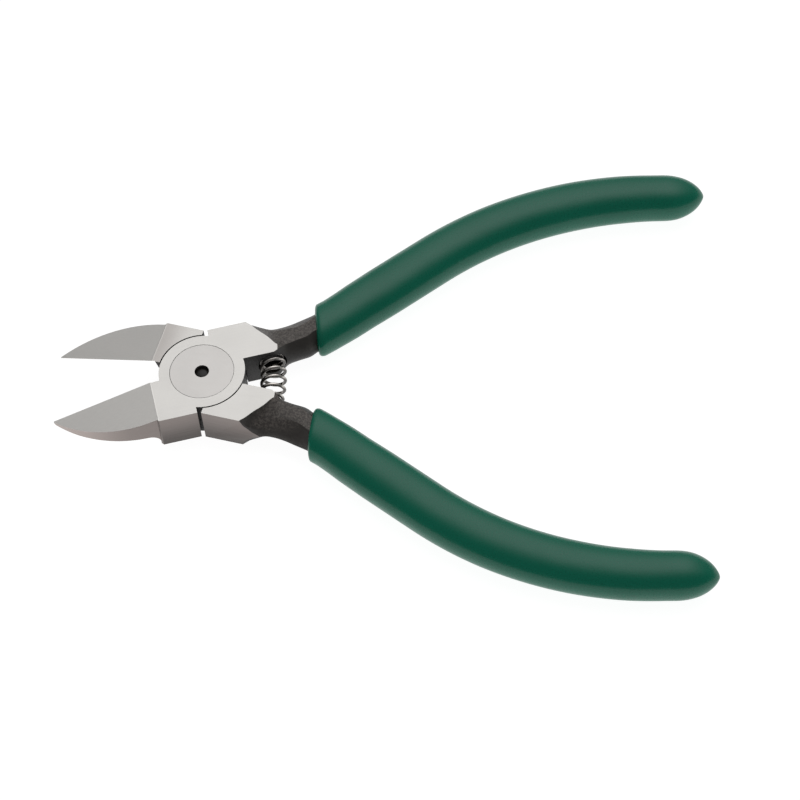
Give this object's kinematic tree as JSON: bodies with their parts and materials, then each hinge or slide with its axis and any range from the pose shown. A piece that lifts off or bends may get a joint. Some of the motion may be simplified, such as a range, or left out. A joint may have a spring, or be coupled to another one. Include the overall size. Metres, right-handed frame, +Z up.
{
  "type": "diagonal cutting pliers",
  "caption": "Compact diagonal cutting pliers with flush jaws, a lapped head turning on one bolt, a coil return spring and bowed handles in dipped grips.",
  "frame": {"origin": "the joint's axis where it meets the head's lower ground face", "axes": "+X from the joint between the two handles, so the jaws point along -X; +Y towards the upper half's handle; +Z up along the joint's axis, out of the bolt's head"},
  "size_m": [0.1243, 0.0952, 0.008],
  "materials": {
    "ground_steel": "fine ground, satin",
    "bolt_steel": "turned and ground flush",
    "black_steel": "black oxide",
    "spring_steel": "bright drawn wire",
    "grip_vinyl": "satin dipped vinyl, dark green"
  },
  "bodies": {
    "lower_arm": {"lower_half": "ground_steel", "lower_grip": "grip_vinyl", "pivot_bolt": "bolt_steel", "pivot_nut": "bolt_steel", "lock_pin": "black_steel", "return_spring": "spring_steel"},
    "upper_arm": {"upper_half": "ground_steel", "upper_grip": "grip_vinyl"}
  },
  "joints": [
    {"name": "squeeze", "type": "hinge", "parent": "lower_arm", "child": "upper_arm", "pos_m": [0, 0, 0.004], "axis": [0, 0, -1], "range_deg": [-3, 29], "stiffness_Nm_per_rad": 0.27, "deforming": ["return_spring"]}
  ]
}
